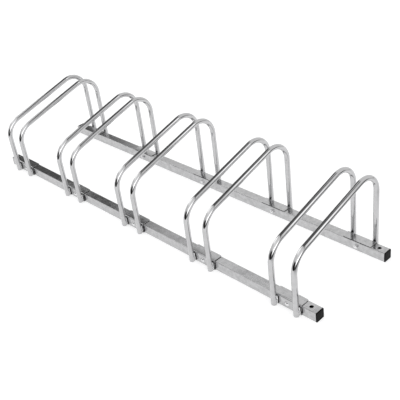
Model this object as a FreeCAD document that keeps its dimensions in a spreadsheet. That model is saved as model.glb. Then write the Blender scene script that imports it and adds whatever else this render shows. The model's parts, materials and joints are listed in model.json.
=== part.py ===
"""Floor bike rack: two square rails on the ground carry pairs of bent tube hoops.

Each pair of hoops is welded to a folded angle bracket at either rail, and one bolt through
the rail holds each bracket. A wheel stands between the two tubes of a pair.

Frame: the origin is on the floor at the middle of the rack, +X runs along the rails, +Y from
the front rail, where the wheel rolls in, to the rear rail, and +Z is up. Millimetres.
"""

import FreeCAD, Part
import math
import os

import Sketcher
from FreeCAD import Placement, Rotation, Vector

# Driving dimensions: alias, value and what it measures.
SIZES = [
    ("pair_count", 5, "wheel places along the rack"),
    ("pair_pitch", 282, "from one wheel place to the next"),
    ("wheel_gap", 53, "clear width between the two tubes of a pair"),
    ("end_margin", 49, "from the centreline of an end hoop to the end of the rail tube"),
    ("rail_spacing", 277, "between the centrelines of the two rails"),
    ("rail_side", 27, "outside width of the square rail tube"),
    ("rail_wall", 1.2, "wall of the rail tube"),
    ("rail_corner", 2, "outside corner radius of the rail tube"),
    ("tube_diameter", 15, "outside diameter of the hoop tube"),
    ("tube_wall", 1, "wall of the hoop tube"),
    ("hoop_height", 241.5, "top of the hoop above the floor"),
    ("hoop_slope", 15.5, "rise of the hoop's long run towards the rear, in degrees"),
    ("bend_radius", 57, "centreline radius of both hoop bends"),
    ("foot_clearance", 1, "hoop ends and brackets above the floor"),
    ("foot_bore", 27, "depth of the open bore in each end of a hoop"),
    ("bracket_wall", 2, "sheet of the angle bracket"),
    ("bracket_overhang", 1.5, "bracket beyond the outer side of the hoop tube"),
    ("bracket_corner", 4, "radius of the two free corners of a bracket's top"),
    ("bead_root", 2.5, "from a hoop's line of contact to the root of its weld bead"),
    ("bead_toe", 5.5, "from a hoop's line of contact to the toe of the bead on the bracket"),
    ("bead_crown", 4.5, "from a hoop's line of contact to the toe of the bead on the tube"),
    ("bolt_diameter", 6, "shank of the cross bolts"),
    ("bolt_play", 0.5, "added to the bolt's diameter and square neck for their holes"),
    ("head_diameter", 13, "domed bolt head"),
    ("head_height", 3.5, "domed bolt head"),
    ("nut_flats", 10, "across the flats of the nut"),
    ("nut_height", 5, "thickness of the nut"),
    ("bolt_tail", 1.5, "bolt beyond the nut"),
    ("fixing_diameter", 10, "holes for screwing the rails to the floor"),
    ("fixing_inset", 22, "from the end of the rail tube to a fixing hole"),
    ("fixing_edge", 0.4, "bevel round the top of a fixing hole"),
    ("cap_flange", 3, "thickness of the end cap's flange"),
    ("cap_edge", 1, "bevelled edge of the end cap's outer face"),
    ("cap_plug", 12, "length of the end cap's plug in the rail"),
    ("cap_wall", 1.5, "wall of the hollow plug"),
    ("plug_play", 0.2, "between the plug and the bore of the rail, on each side"),
]

# How the sketcher numbers the points of its geometry, its own axes and its origin.
START = 1
END = START + 1
CENTRE = END + 1
LEVEL_AXIS = -1
UPRIGHT_AXIS = LEVEL_AXIS - 1
ORIGIN = (LEVEL_AXIS, START)

TURNED = Rotation(Vector(0, 0, 1), 180)
STRAIGHT = Rotation()


class Size:
    """A length with its number, which places first geometry, and its sheet expression."""

    def __init__(self, number, text):
        self.number, self.text = number, text

    @staticmethod
    def of(value):
        return value if isinstance(value, Size) else Size(value, str(value))

    def __add__(self, other):
        other = Size.of(other)
        return Size(self.number + other.number, f"({self.text} + {other.text})")

    def __sub__(self, other):
        other = Size.of(other)
        return Size(self.number - other.number, f"({self.text} - {other.text})")

    def __mul__(self, factor):
        factor = Size.of(factor)
        return Size(self.number * factor.number, f"({self.text} * {factor.text})")

    def __truediv__(self, divisor):
        return Size(self.number / divisor, f"({self.text} / {divisor})")

    def __neg__(self):
        return Size(-self.number, f"(-{self.text})")


class Sizes:
    """The spreadsheet of driving dimensions, read as attributes."""

    def __init__(self, doc):
        sheet = doc.addObject("Spreadsheet::Sheet", "Sheet")
        for row, (alias, value, note) in enumerate(SIZES, 1):
            sheet.set(f"A{row}", str(value))
            sheet.set(f"B{row}", note)
            sheet.setAlias(f"A{row}", alias)
            setattr(self, alias, Size(value, f"Sheet.{alias}"))


doc = FreeCAD.newDocument("floor_bike_rack")
size = Sizes(doc)
doc.recompute()

# Sizes that follow from the driving dimensions.
hoop_spacing = size.wheel_gap + size.tube_diameter
row_length = (size.pair_count - 1) * size.pair_pitch
rail_length = row_length + hoop_spacing + size.end_margin * 2
rail_half = size.rail_side / 2
rail_bore = size.rail_side - size.rail_wall * 2
bore_corner = size.rail_corner - size.rail_wall
tube_radius = size.tube_diameter / 2
plate_face = rail_half + size.bracket_wall
leg_offset = plate_face + tube_radius
bracket_length = hoop_spacing + size.tube_diameter + size.bracket_overhang * 2
bolt_hole = size.bolt_diameter + size.bolt_play


def station(index):
    """Middle of a wheel place along the rack."""
    return size.pair_pitch * index - row_length / 2


# ---------------------------------------------------------------- sketches and features


def make_body(label, x, y, z, turn=STRAIGHT):
    """A body whose place follows the sheet."""
    body = doc.addObject("PartDesign::Body", label)
    body.Label = label
    body.AllowCompound = True
    body.Placement = Placement(Vector(x.number, y.number, z.number), turn)
    for axis, place in (("x", x), ("y", y), ("z", z)):
        body.setExpression(f"Placement.Base.{axis}", place.text)
    return body


def origin_feature(body, role):
    return next(f for f in body.Origin.OriginFeatures if f.Role == role)


def make_sketch(body, name, plane, lift=None):
    """A sketch on one of the body's origin planes, lifted off it along its normal."""
    sketch = body.newObject("Sketcher::SketchObject", name)
    sketch.AttachmentSupport = (origin_feature(body, plane), [""])
    sketch.MapMode = "FlatFace"
    if lift is not None:
        sketch.setExpression("AttachmentOffset.Base.z", lift.text)
    return sketch


def bind(sketch, name, kind, references, length):
    """A named dimension in a sketch that follows the sheet."""
    constraint = Sketcher.Constraint(kind, *references, length.number)
    sketch.renameConstraint(sketch.addConstraint(constraint), name)
    sketch.setExpression(f"Constraints.{name}", length.text)


def place(sketch, name, point, x=None, y=None):
    """Fixes one or both coordinates of a point, given as (geometry, end)."""
    for kind, axis, value in (("DistanceX", UPRIGHT_AXIS, x), ("DistanceY", LEVEL_AXIS, y)):
        if value is None:
            continue
        value = Size.of(value)
        if value.number == 0:
            sketch.addConstraint(Sketcher.Constraint("PointOnObject", *point, axis))
        elif value.number > 0:
            bind(sketch, f"{name}_{kind[-1]}", kind, (*ORIGIN, *point), value)
        else:
            bind(sketch, f"{name}_{kind[-1]}", kind, (*point, *ORIGIN), -value)


def join(sketch, kind, first, second):
    sketch.addConstraint(Sketcher.Constraint(kind, *first, *second))


def draw_arc(sketch, centre, enter, leave):
    """The shorter arc about a centre; returns its index and the ends it enters and leaves by."""
    turns_left = (enter - centre).cross(leave - centre).z > 0
    ends = (enter, leave) if turns_left else (leave, enter)
    angles = [math.atan2(end.y - centre.y, end.x - centre.x) for end in ends]
    circle = Part.Circle(centre, Vector(0, 0, 1), (enter - centre).Length)
    index = sketch.addGeometry(Part.ArcOfCircle(circle, *angles), False)
    return (index, START, END) if turns_left else (index, END, START)


def draw_outline(sketch, name, corners):
    """A closed outline of level and upright sides.

    Each corner is (x, y, radius), and a radius of None leaves the corner sharp.
    """
    count = len(corners)
    points = [Vector(x.number, y.number, 0) for x, y, _ in corners]
    radii = [0 if radius is None else radius.number for _, _, radius in corners]
    sides = []
    for i, (point, following) in enumerate(zip(points, points[1:] + points[:1])):
        along = (following - point).normalize()
        line = Part.LineSegment(point + along * radii[i],
                                following - along * radii[(i + 1) % count])
        sides.append(sketch.addGeometry(line, False))
        level = abs(along.y) < abs(along.x)
        sketch.addConstraint(Sketcher.Constraint("Horizontal" if level else "Vertical", sides[i]))
        x, y, _ = corners[i]
        if level:
            place(sketch, f"{name}_side_{i}", (sides[i], START), y=y)
        else:
            place(sketch, f"{name}_side_{i}", (sides[i], START), x=x)
    for i, (_, _, radius) in enumerate(corners):
        before, after = (sides[i - 1], END), (sides[i], START)
        if radius is None:
            join(sketch, "Coincident", before, after)
            continue
        enter = sketch.Geometry[sides[i - 1]].EndPoint
        leave = sketch.Geometry[sides[i]].StartPoint
        arc, first, last = draw_arc(sketch, enter + leave - points[i], enter, leave)
        join(sketch, "Tangent", before, (arc, first))
        join(sketch, "Tangent", (arc, last), after)
        bind(sketch, f"{name}_radius_{i}", "Radius", (arc,), radius)


def draw_square(sketch, name, side, radius=None):
    half = side / 2
    draw_outline(sketch, name, [(-half, -half, radius), (half, -half, radius),
                                (half, half, radius), (-half, half, radius)])


def draw_circle(sketch, name, diameter, x=0, y=0):
    centre = Vector(Size.of(x).number, Size.of(y).number, 0)
    circle = sketch.addGeometry(Part.Circle(centre, Vector(0, 0, 1), diameter.number / 2), False)
    bind(sketch, f"{name}_diameter", "Diameter", (circle,), diameter)
    place(sketch, name, (circle, CENTRE), x=x, y=y)


def extrude(body, kind, name, sketch, length=None, both_ways=False, backwards=False):
    """A Pad or Pocket of a sketch, and through everything where it has no length."""
    feature = body.newObject(f"PartDesign::{kind}", name)
    feature.Profile = sketch
    feature.SideType = "Symmetric" if both_ways else "One side"
    feature.Reversed = backwards
    if length is None:
        feature.Type = "ThroughAll"
    else:
        feature.setExpression("Length", length.text)
    return feature


def dress_edges(body, kind, name, feature, amount, chosen):
    """A Fillet or Chamfer on those edges of a feature that a test picks."""
    doc.recompute()
    edges = [f"Edge{i}" for i, edge in enumerate(feature.Shape.Edges, 1) if chosen(edge)]
    dressed = body.newObject(f"PartDesign::{kind}", name)
    dressed.Base = (feature, edges)
    dressed.setExpression("Radius" if kind == "Fillet" else "Size", amount.text)
    return dressed


def repeat_along_rack(body, name, features):
    """Copies features of the first wheel place to the others."""
    pattern = body.newObject("PartDesign::LinearPattern", name)
    pattern.Originals = features
    pattern.Direction = (origin_feature(body, "X_Axis"), [""])
    pattern.setExpression("Length", row_length.text)
    pattern.setExpression("Occurrences", size.pair_count.text)
    body.Tip = pattern
    return pattern


# ---------------------------------------------------------------- rails and their end caps


def make_rail(label, y):
    """Square tube with a bolt hole at each wheel place and a floor fixing hole at each end."""
    body = make_body(label, Size.of(0), y, rail_half)
    section = make_sketch(body, "section", "YZ_Plane")
    draw_square(section, "outside", size.rail_side, size.rail_corner)
    draw_square(section, "bore", rail_bore, bore_corner)
    extrude(body, "Pad", "tube", section, rail_length, both_ways=True)

    fixings = make_sketch(body, "fixings", "XY_Plane")
    reach = rail_length / 2 - size.fixing_inset
    draw_circle(fixings, "left", size.fixing_diameter, x=-reach)
    draw_circle(fixings, "right", size.fixing_diameter, x=reach)
    fixing_holes = extrude(body, "Pocket", "fixing_holes", fixings, both_ways=True)

    def rings_top(edge):
        return edge.isClosed() and edge.BoundBox.ZMin > rail_half.number - 0.01

    dress_edges(body, "Chamfer", "fixing_edges", fixing_holes, size.fixing_edge, rings_top)

    bolt = make_sketch(body, "bolt", "XZ_Plane")
    draw_circle(bolt, "bolt", bolt_hole, x=station(0))
    holes = extrude(body, "Pocket", "bolt_hole", bolt, both_ways=True)
    repeat_along_rack(body, "bolt_holes", [holes])
    return body


def make_cap(label, y, end):
    """Moulded cap: a flange over the tube's end, and a hollow plug inside it."""
    turn = STRAIGHT if end > 0 else TURNED
    body = make_body(label, rail_length / 2 * end, y, rail_half, turn)
    face = make_sketch(body, "face", "YZ_Plane")
    draw_square(face, "face", size.rail_side, size.rail_corner)
    flange = extrude(body, "Pad", "flange", face, size.cap_flange)

    def bounds_face(edge):
        return edge.BoundBox.XMin > size.cap_flange.number - 0.01

    dress_edges(body, "Chamfer", "bevel", flange, size.cap_edge, bounds_face)

    section = make_sketch(body, "section", "YZ_Plane")
    plug_side = rail_bore - size.plug_play * 2
    draw_square(section, "plug", plug_side, bore_corner)
    draw_square(section, "core", plug_side - size.cap_wall * 2)
    extrude(body, "Pad", "plug", section, size.cap_plug, backwards=True)
    return body


# ---------------------------------------------------------------- hoops


def draw_hoop_path(sketch):
    """Centreline: up the front leg, up the slope, over the apex and down the rear leg."""
    slope = math.radians(size.hoop_slope.number)
    along, across = Vector(math.cos(slope), math.sin(slope)), Vector(-math.sin(slope), math.cos(slope))
    radius = size.bend_radius.number
    leg = size.rail_spacing.number / 2 + leg_offset.number
    foot = size.foot_clearance.number
    apex_height = size.hoop_height - tube_radius - size.bend_radius

    apex = Vector(leg - radius, apex_height.number)
    slope_top = apex + across * radius
    run = (apex.x + leg - radius) / along.x
    bend = apex - along * run
    slope_foot = bend + across * radius
    leg_top, crest_end = bend - Vector(radius, 0), apex + Vector(radius, 0)

    front = sketch.addGeometry(Part.LineSegment(Vector(-leg, foot), leg_top), False)
    nose, nose_in, nose_out = draw_arc(sketch, bend, leg_top, slope_foot)
    ramp = sketch.addGeometry(Part.LineSegment(slope_foot, slope_top), False)
    crest, crest_in, crest_out = draw_arc(sketch, apex, slope_top, crest_end)
    rear = sketch.addGeometry(Part.LineSegment(crest_end, Vector(leg, foot)), False)

    join(sketch, "Tangent", (front, END), (nose, nose_in))
    join(sketch, "Tangent", (nose, nose_out), (ramp, START))
    join(sketch, "Tangent", (ramp, END), (crest, crest_in))
    join(sketch, "Tangent", (crest, crest_out), (rear, START))
    for upright in (front, rear):
        sketch.addConstraint(Sketcher.Constraint("Vertical", upright))
    span = size.rail_spacing / 2 + leg_offset
    place(sketch, "front_foot", (front, START), x=-span, y=size.foot_clearance)
    place(sketch, "rear_foot", (rear, END), x=span, y=size.foot_clearance)
    place(sketch, "apex", (crest, CENTRE), y=apex_height)
    bind(sketch, "nose_radius", "Radius", (nose,), size.bend_radius)
    bind(sketch, "crest_radius", "Radius", (crest,), size.bend_radius)
    angle = Sketcher.Constraint("Angle", LEVEL_AXIS, START, ramp, START, slope)
    sketch.renameConstraint(sketch.addConstraint(angle), "slope")
    sketch.setExpression("Constraints.slope", f"{size.hoop_slope.text} * 1 deg")


def make_hoop(label, x):
    """One bent tube with vertical legs. Its bends, closed to view, are solid."""
    body = make_body(label, x, Size.of(0), Size.of(0))
    path = make_sketch(body, "path", "YZ_Plane")
    draw_hoop_path(path)
    span = size.rail_spacing / 2 + leg_offset

    foot = make_sketch(body, "foot", "XY_Plane", lift=size.foot_clearance)
    draw_circle(foot, "tube", size.tube_diameter, y=-span)
    doc.recompute()
    sweep = body.newObject("PartDesign::AdditivePipe", "tube")
    sweep.Profile = foot
    sweep.Spine = (path, [f"Edge{i + 1}" for i in range(len(path.Shape.Edges))])

    bores = make_sketch(body, "bores", "XY_Plane", lift=size.foot_clearance)
    for name, y in (("front_bore", -span), ("rear_bore", span)):
        draw_circle(bores, name, size.tube_diameter - size.tube_wall * 2, y=y)
    extrude(body, "Pocket", "foot_bores", bores, size.foot_bore, backwards=True)
    return body


# ---------------------------------------------------------------- brackets and welds


def make_bracket(label, x, y, turn):
    """Sheet folded over the rail's top and outer face, with a square hole for the bolt's neck.

    Its own origin is the centre of the rail's section, and its outer leg faces -Y.
    """
    body = make_body(label, x, y, rail_half, turn)
    section = make_sketch(body, "section", "YZ_Plane")
    bottom = size.foot_clearance - rail_half
    fold = size.rail_corner
    draw_outline(section, "angle", [
        (-plate_face, bottom, None),
        (-rail_half, bottom, None),
        (-rail_half, rail_half, fold),
        (rail_half, rail_half, None),
        (rail_half, plate_face, None),
        (-plate_face, plate_face, fold + size.bracket_wall),
    ])
    angle = extrude(body, "Pad", "angle", section, bracket_length, both_ways=True)

    def ends_top(edge):
        box = edge.BoundBox
        return box.YMin > rail_half.number - 0.01 and box.ZMax - box.ZMin > box.XMax - box.XMin

    dress_edges(body, "Fillet", "corners", angle, size.bracket_corner, ends_top)

    neck = make_sketch(body, "neck", "XZ_Plane")
    draw_square(neck, "neck", bolt_hole)
    extrude(body, "Pocket", "neck_hole", neck, backwards=True)
    return body


def draw_bead(sketch, name, tube_x, side):
    """Cross-section of one fillet weld in the groove between a tube and the bracket."""
    radius = tube_radius.number
    axis = Vector(tube_x.number, -(plate_face + tube_radius).number)

    def on_tube(reach):
        return axis + Vector(side * reach, math.sqrt(radius ** 2 - reach ** 2))

    def on_plate(reach):
        return axis + Vector(side * reach, radius)

    root, toe, crown = size.bead_root.number, size.bead_toe.number, size.bead_crown.number
    plate = sketch.addGeometry(Part.LineSegment(on_plate(root), on_plate(toe)), False)
    skin = sketch.addGeometry(Part.LineSegment(on_plate(toe), on_tube(crown)), False)
    tube, tube_in, tube_out = draw_arc(sketch, axis, on_tube(crown), on_tube(root))
    inner = sketch.addGeometry(Part.LineSegment(on_tube(root), on_plate(root)), False)

    join(sketch, "Coincident", (plate, END), (skin, START))
    join(sketch, "Coincident", (skin, END), (tube, tube_in))
    join(sketch, "Coincident", (tube, tube_out), (inner, START))
    join(sketch, "Coincident", (inner, END), (plate, START))
    sketch.addConstraint(Sketcher.Constraint("Horizontal", plate))
    sketch.addConstraint(Sketcher.Constraint("Vertical", inner))
    place(sketch, f"{name}_plate", (plate, START), x=tube_x + size.bead_root * side, y=-plate_face)
    place(sketch, f"{name}_toe", (plate, END), x=tube_x + size.bead_toe * side)
    place(sketch, f"{name}_crown", (skin, END), x=tube_x + size.bead_crown * side)
    place(sketch, f"{name}_axis", (tube, CENTRE), x=tube_x, y=-(plate_face + tube_radius))
    bind(sketch, f"{name}_tube", "Radius", (tube,), tube_radius)


def make_welds(label, x, y, turn):
    """Four beads at each wheel place, one on either side of both tubes."""
    body = make_body(label, x, y, rail_half, turn)
    section = make_sketch(body, "section", "XY_Plane", lift=size.foot_clearance - rail_half)
    for tube, tube_x in (("left", -hoop_spacing / 2), ("right", hoop_spacing / 2)):
        for flank, side in (("outer", -1), ("inner", 1)):
            draw_bead(section, f"{tube}_{flank}", tube_x, side)
    length = size.rail_side - size.foot_clearance - size.rail_corner
    beads = extrude(body, "Pad", "beads", section, length)
    repeat_along_rack(body, "bead_row", [beads])
    return body


# ---------------------------------------------------------------- bolts and nuts


def make_bolts(label, x, y, turn):
    """Domed bolts with square necks, their heads outside the brackets."""
    body = make_body(label, x, y, rail_half, turn)
    half = make_sketch(body, "half_section", "YZ_Plane")
    head_radius, shank = size.head_diameter / 2, size.bolt_diameter / 2
    crown = plate_face + size.head_height
    tip = rail_half + size.nut_height + size.bolt_tail
    dome = (head_radius.number ** 2 + size.head_height.number ** 2) / (2 * size.head_height.number)

    top, rim = Vector(-crown.number, 0), Vector(-plate_face.number, head_radius.number)
    arc, arc_in, arc_out = draw_arc(half, top + Vector(dome, 0), top, rim)
    corners = [rim, Vector(rim.x, shank.number), Vector(tip.number, shank.number),
               Vector(tip.number, 0), top]
    under, side, end, axis = [
        half.addGeometry(Part.LineSegment(a, b), False) for a, b in zip(corners, corners[1:])]
    join(half, "Coincident", (arc, arc_out), (under, START))
    join(half, "Coincident", (under, END), (side, START))
    join(half, "Coincident", (side, END), (end, START))
    join(half, "Coincident", (end, END), (axis, START))
    join(half, "Coincident", (axis, END), (arc, arc_in))
    for line, kind in ((under, "Vertical"), (side, "Horizontal"), (end, "Vertical")):
        half.addConstraint(Sketcher.Constraint(kind, line))
    place(half, "rim", (under, START), x=-plate_face, y=head_radius)
    place(half, "shank", (side, START), y=shank)
    place(half, "tip", (axis, START), x=tip, y=0)
    place(half, "crown", (axis, END), x=-crown, y=0)
    half.addConstraint(Sketcher.Constraint("PointOnObject", arc, CENTRE, LEVEL_AXIS))
    bolt = body.newObject("PartDesign::Revolution", "bolt")
    bolt.Profile = half
    bolt.ReferenceAxis = (half, ["H_Axis"])

    square = make_sketch(body, "square", "XZ_Plane", lift=rail_half)
    draw_square(square, "neck", size.bolt_diameter)
    neck = extrude(body, "Pad", "neck", square, size.bracket_wall)
    repeat_along_rack(body, "bolt_row", [bolt, neck])
    return body


def make_nuts(label, x, y, turn):
    """Hexagon nuts on the inner face of the rail."""
    body = make_body(label, x, y, rail_half, turn)
    hexagon = make_sketch(body, "hexagon", "XZ_Plane", lift=-rail_half)
    flats = size.nut_flats.number
    corner = flats / math.sqrt(3)
    points = [Vector(corner * math.sin(math.radians(a)), corner * math.cos(math.radians(a)))
              for a in range(0, 360, 60)]
    lines = [hexagon.addGeometry(Part.LineSegment(a, b), False)
             for a, b in zip(points, points[1:] + points[:1])]
    ring = hexagon.addGeometry(Part.Circle(Vector(), Vector(0, 0, 1), corner), True)
    for line, following in zip(lines, lines[1:] + lines[:1]):
        join(hexagon, "Coincident", (line, END), (following, START))
        hexagon.addConstraint(Sketcher.Constraint("PointOnObject", line, START, ring))
    for line, following in zip(lines, lines[1:-1] + lines[:1]):
        hexagon.addConstraint(Sketcher.Constraint("Equal", line, following))
    hexagon.addConstraint(Sketcher.Constraint("Vertical", lines[1]))
    join(hexagon, "Coincident", (ring, CENTRE), ORIGIN)
    bind(hexagon, "half_flats", "DistanceX", (*ORIGIN, lines[1], START), size.nut_flats / 2)
    draw_circle(hexagon, "thread", size.bolt_diameter)
    nut = extrude(body, "Pad", "nut", hexagon, size.nut_height, backwards=True)
    repeat_along_rack(body, "nut_row", [nut])
    return body


# ---------------------------------------------------------------- the assembly


def build():
    """Every separate piece of the rack, as a list of bodies."""
    pieces = []
    first, last = station(0), station(size.pair_count - 1)
    sides = (("front", -size.rail_spacing / 2, STRAIGHT, first),
             ("rear", size.rail_spacing / 2, TURNED, last))
    places = [(i + 1, station(i)) for i in range(int(size.pair_count.number))]
    for side, y, turn, start in sides:
        pieces.append(make_rail(f"{side}_rail", y))
        pieces.append(make_cap(f"{side}_left_cap", y, -1))
        pieces.append(make_cap(f"{side}_right_cap", y, 1))
        pieces.extend(make_bracket(f"{side}_bracket_{n}", x, y, turn) for n, x in places)
        pieces.append(make_welds(f"{side}_welds", start, y, turn))
        pieces.append(make_bolts(f"{side}_bolts", start, y, turn))
        pieces.append(make_nuts(f"{side}_nuts", start, y, turn))
    for n, x in places:
        pieces.append(make_hoop(f"hoop_{n}_left", x - hoop_spacing / 2))
        pieces.append(make_hoop(f"hoop_{n}_right", x + hoop_spacing / 2))
    return pieces


def check(pieces):
    """Stops on any failed feature, loose sketch or unsound solid."""
    for item in doc.Objects:
        if {"Invalid", "Error"} & set(item.State):
            raise RuntimeError(f"{item.Label} failed: {item.State}")
        if item.isDerivedFrom("Sketcher::SketchObject") and not item.FullyConstrained:
            raise RuntimeError(f"{item.Label} is not fully constrained")
    for piece in pieces:
        if piece.Shape.isNull() or not piece.Shape.isValid():
            raise RuntimeError(f"{piece.Label} has no sound solid")


pieces = build()
doc.recompute()
check(pieces)
os.makedirs("parts", exist_ok=True)
for piece in pieces:
    piece.Shape.exportStep(f"parts/{piece.Label}.step")
    print(f"{piece.Label}: {len(piece.Shape.Solids)} solids, {piece.Shape.Volume / 1000:.2f} cm3")
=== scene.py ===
"""Floor bike rack: zinc plated hoops, rails, brackets and fasteners on a white studio floor.

Lengths are metres in the part's own frame: +X runs along the rails, +Y from the front rail to the
rear rail and +Z is up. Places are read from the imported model.
"""

import json
import math
import random

import bpy
from mathutils import Matrix, Vector


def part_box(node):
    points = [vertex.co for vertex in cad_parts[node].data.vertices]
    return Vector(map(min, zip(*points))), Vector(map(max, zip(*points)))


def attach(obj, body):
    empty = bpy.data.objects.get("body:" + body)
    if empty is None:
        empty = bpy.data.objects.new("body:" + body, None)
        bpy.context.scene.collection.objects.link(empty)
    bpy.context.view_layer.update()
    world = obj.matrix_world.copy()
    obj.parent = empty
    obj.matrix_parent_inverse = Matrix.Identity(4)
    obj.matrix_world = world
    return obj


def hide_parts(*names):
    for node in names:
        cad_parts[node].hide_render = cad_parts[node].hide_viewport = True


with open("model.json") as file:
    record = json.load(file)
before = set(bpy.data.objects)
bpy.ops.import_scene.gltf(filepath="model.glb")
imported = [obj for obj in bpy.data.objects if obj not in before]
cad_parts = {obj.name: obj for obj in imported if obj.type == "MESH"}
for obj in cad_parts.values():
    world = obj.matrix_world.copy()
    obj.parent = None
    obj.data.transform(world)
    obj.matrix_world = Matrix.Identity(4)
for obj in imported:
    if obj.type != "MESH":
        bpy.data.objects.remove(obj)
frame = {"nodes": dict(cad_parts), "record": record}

bl_info = {
    "name": "Floor bike rack",
    "version": (1, 0, 0),
    "blender": (4, 5, 0),
    "location": "3D View > Sidebar > Bike rack",
    "description": "Builds the visible pieces and finishes of a floor bike rack",
    "category": "Object",
}

SIDES = ("front", "rear")
ENDS = ("left", "right")
OUTWARD = {"front": -1.0, "rear": 1.0}
FULL_TURN = 2 * math.pi
QUARTER_TURN = math.pi / 2


# ------------------------------------------------------------------ places read from the frame


def middle(node):
    low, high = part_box(node)
    return (low + high) / 2


def extent(node):
    low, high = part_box(node)
    return high - low


def wheel_places():
    """Numbers of the wheel places, from the bracket nodes' names."""
    prefix = "front_bracket_"
    return sorted(int(name[len(prefix):]) for name in frame["nodes"] if name.startswith(prefix))


def hoop_names():
    return [f"hoop_{number}_{end}" for number in wheel_places() for end in ENDS]


def tube_radius():
    return extent(hoop_names()[0]).x / 2


def plate_plane(side):
    """Y of the outer face of a side's brackets."""
    low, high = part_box(f"{side}_bracket_1")
    return low.y if side == "front" else high.y


def rail_inner_plane(side):
    """Y of the rail face that the nuts sit on."""
    low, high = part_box(f"{side}_rail")
    return high.y if side == "front" else low.y


# ------------------------------------------------------------------ meshes from rings of points


class RingMesh:
    """A mesh of closed rings of points, each joined to the next by a band of faces."""

    def __init__(self):
        self.points, self.faces, self.slots = [], [], []

    def ring(self, points):
        start = len(self.points)
        self.points.extend(points)
        return range(start, start + len(points))

    def band(self, first, second, slot=0):
        count = len(first)
        for i in range(count):
            j = (i + 1) % count
            self.faces.append((first[i], first[j], second[j], second[i]))
            self.slots.append(slot)

    def lid(self, ring, slot=0, reverse=False):
        self.faces.append(tuple(reversed(ring)) if reverse else tuple(ring))
        self.slots.append(slot)

    def loft(self, sections, slot=0, closed=False, lids=True):
        """Joins sections in order, and either closes them on themselves or shuts both ends."""
        rings = [self.ring(section) for section in sections]
        for first, second in zip(rings, rings[1:]):
            self.band(first, second, slot)
        if closed:
            self.band(rings[-1], rings[0], slot)
        elif lids:
            self.lid(rings[0], slot, reverse=True)
            self.lid(rings[-1], slot)
        return rings

    def looks_inward(self):
        """Whether the faces enclose a negative volume."""
        volume = 0.0
        for face in self.faces:
            first = self.points[face[0]]
            for second, third in zip(face[1:], face[2:]):
                volume += first.dot(self.points[second].cross(self.points[third]))
        return volume < 0

    def piece(self, name, materials, sharp_angle=math.radians(40)):
        """The finished object, faces outward, smooth but for edges sharper than the angle."""
        faces = [face[::-1] for face in self.faces] if self.looks_inward() else self.faces
        mesh = bpy.data.meshes.new(name)
        mesh.from_pydata([tuple(point) for point in self.points], [], faces)
        for material in materials:
            mesh.materials.append(material)
        mesh.polygons.foreach_set("material_index", self.slots)
        mesh.polygons.foreach_set("use_smooth", [True] * len(mesh.polygons))
        mesh.validate()
        mesh.update()
        mesh.set_sharp_from_angle(angle=sharp_angle)
        obj = bpy.data.objects.new(name, mesh)
        bpy.context.scene.collection.objects.link(obj)
        return obj


def circle_points(centre, across, up, radius, segments):
    """Points round a centre in the plane of two unit vectors."""
    points = []
    for i in range(segments):
        turn = FULL_TURN * i / segments
        points.append(centre + across * (radius * math.cos(turn)) + up * (radius * math.sin(turn)))
    return points


def square_points(centre, across, up, half, corner, steps=5):
    """Points round a square with rounded corners."""
    corner = min(corner, half)
    points = []
    for quarter in range(4):
        start = quarter * math.pi / 2
        middle_turn = start + math.pi / 4
        inset = (half - corner) * math.sqrt(2)
        pivot = (inset * math.cos(middle_turn), inset * math.sin(middle_turn))
        for i in range(steps + 1):
            turn = start + (math.pi / 2) * i / steps
            a, b = pivot[0] + corner * math.cos(turn), pivot[1] + corner * math.sin(turn)
            points.append(centre + across * a + up * b)
    return points


def finish_piece(obj, slot_name, *nodes):
    """Rides on the rack and stands for the nodes; the named slot is not used."""
    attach(obj, "root")
    if nodes:
        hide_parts(*nodes)
    return obj


# ------------------------------------------------------------------ node trees


class Nodes:
    """Short calls that fill one node tree."""

    def __init__(self, tree):
        self.tree = tree
        tree.nodes.clear()

    def add(self, kind, **settings):
        node = self.tree.nodes.new(kind)
        for name, value in settings.items():
            setattr(node, name, value)
        return node

    def put(self, socket, value):
        if isinstance(value, bpy.types.NodeSocket):
            self.tree.links.new(value, socket)
        else:
            socket.default_value = value

    def math(self, operation, *values):
        node = self.add("ShaderNodeMath", operation=operation)
        for socket, value in zip(node.inputs, values):
            self.put(socket, value)
        return node.outputs[0]

    def remap(self, value, low, high, new_low=0.0, new_high=1.0):
        node = self.add("ShaderNodeMapRange", interpolation_type="SMOOTHSTEP")
        for name, number in (("Value", value), ("From Min", low), ("From Max", high),
                             ("To Min", new_low), ("To Max", new_high)):
            self.put(node.inputs[name], number)
        return node.outputs["Result"]

    def mix(self, factor, first, second):
        node = self.add("ShaderNodeMix", data_type="FLOAT")
        for index, value in ((0, factor), (2, first), (3, second)):
            self.put(node.inputs[index], value)
        return node.outputs[0]

    def mix_colour(self, factor, first, second):
        node = self.add("ShaderNodeMix", data_type="RGBA")
        for index, value in ((0, factor), (6, first), (7, second)):
            self.put(node.inputs[index], value)
        return node.outputs[2]

    def stretched(self, vector, scale):
        node = self.add("ShaderNodeMapping")
        self.put(node.inputs["Vector"], vector)
        self.put(node.inputs["Scale"], scale)
        return node.outputs["Vector"]

    def noise(self, vector, scale, detail=3.0, roughness=0.5):
        node = self.add("ShaderNodeTexNoise")
        for name, value in (("Vector", vector), ("Scale", scale), ("Detail", detail),
                            ("Roughness", roughness)):
            self.put(node.inputs[name], value)
        return node.outputs["Fac"]

    def bump(self, height, distance, normal=None):
        node = self.add("ShaderNodeBump")
        for name, value in (("Height", height), ("Distance", distance), ("Strength", 1.0)):
            self.put(node.inputs[name], value)
        if normal is not None:
            self.put(node.inputs["Normal"], normal)
        return node.outputs["Normal"]


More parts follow.
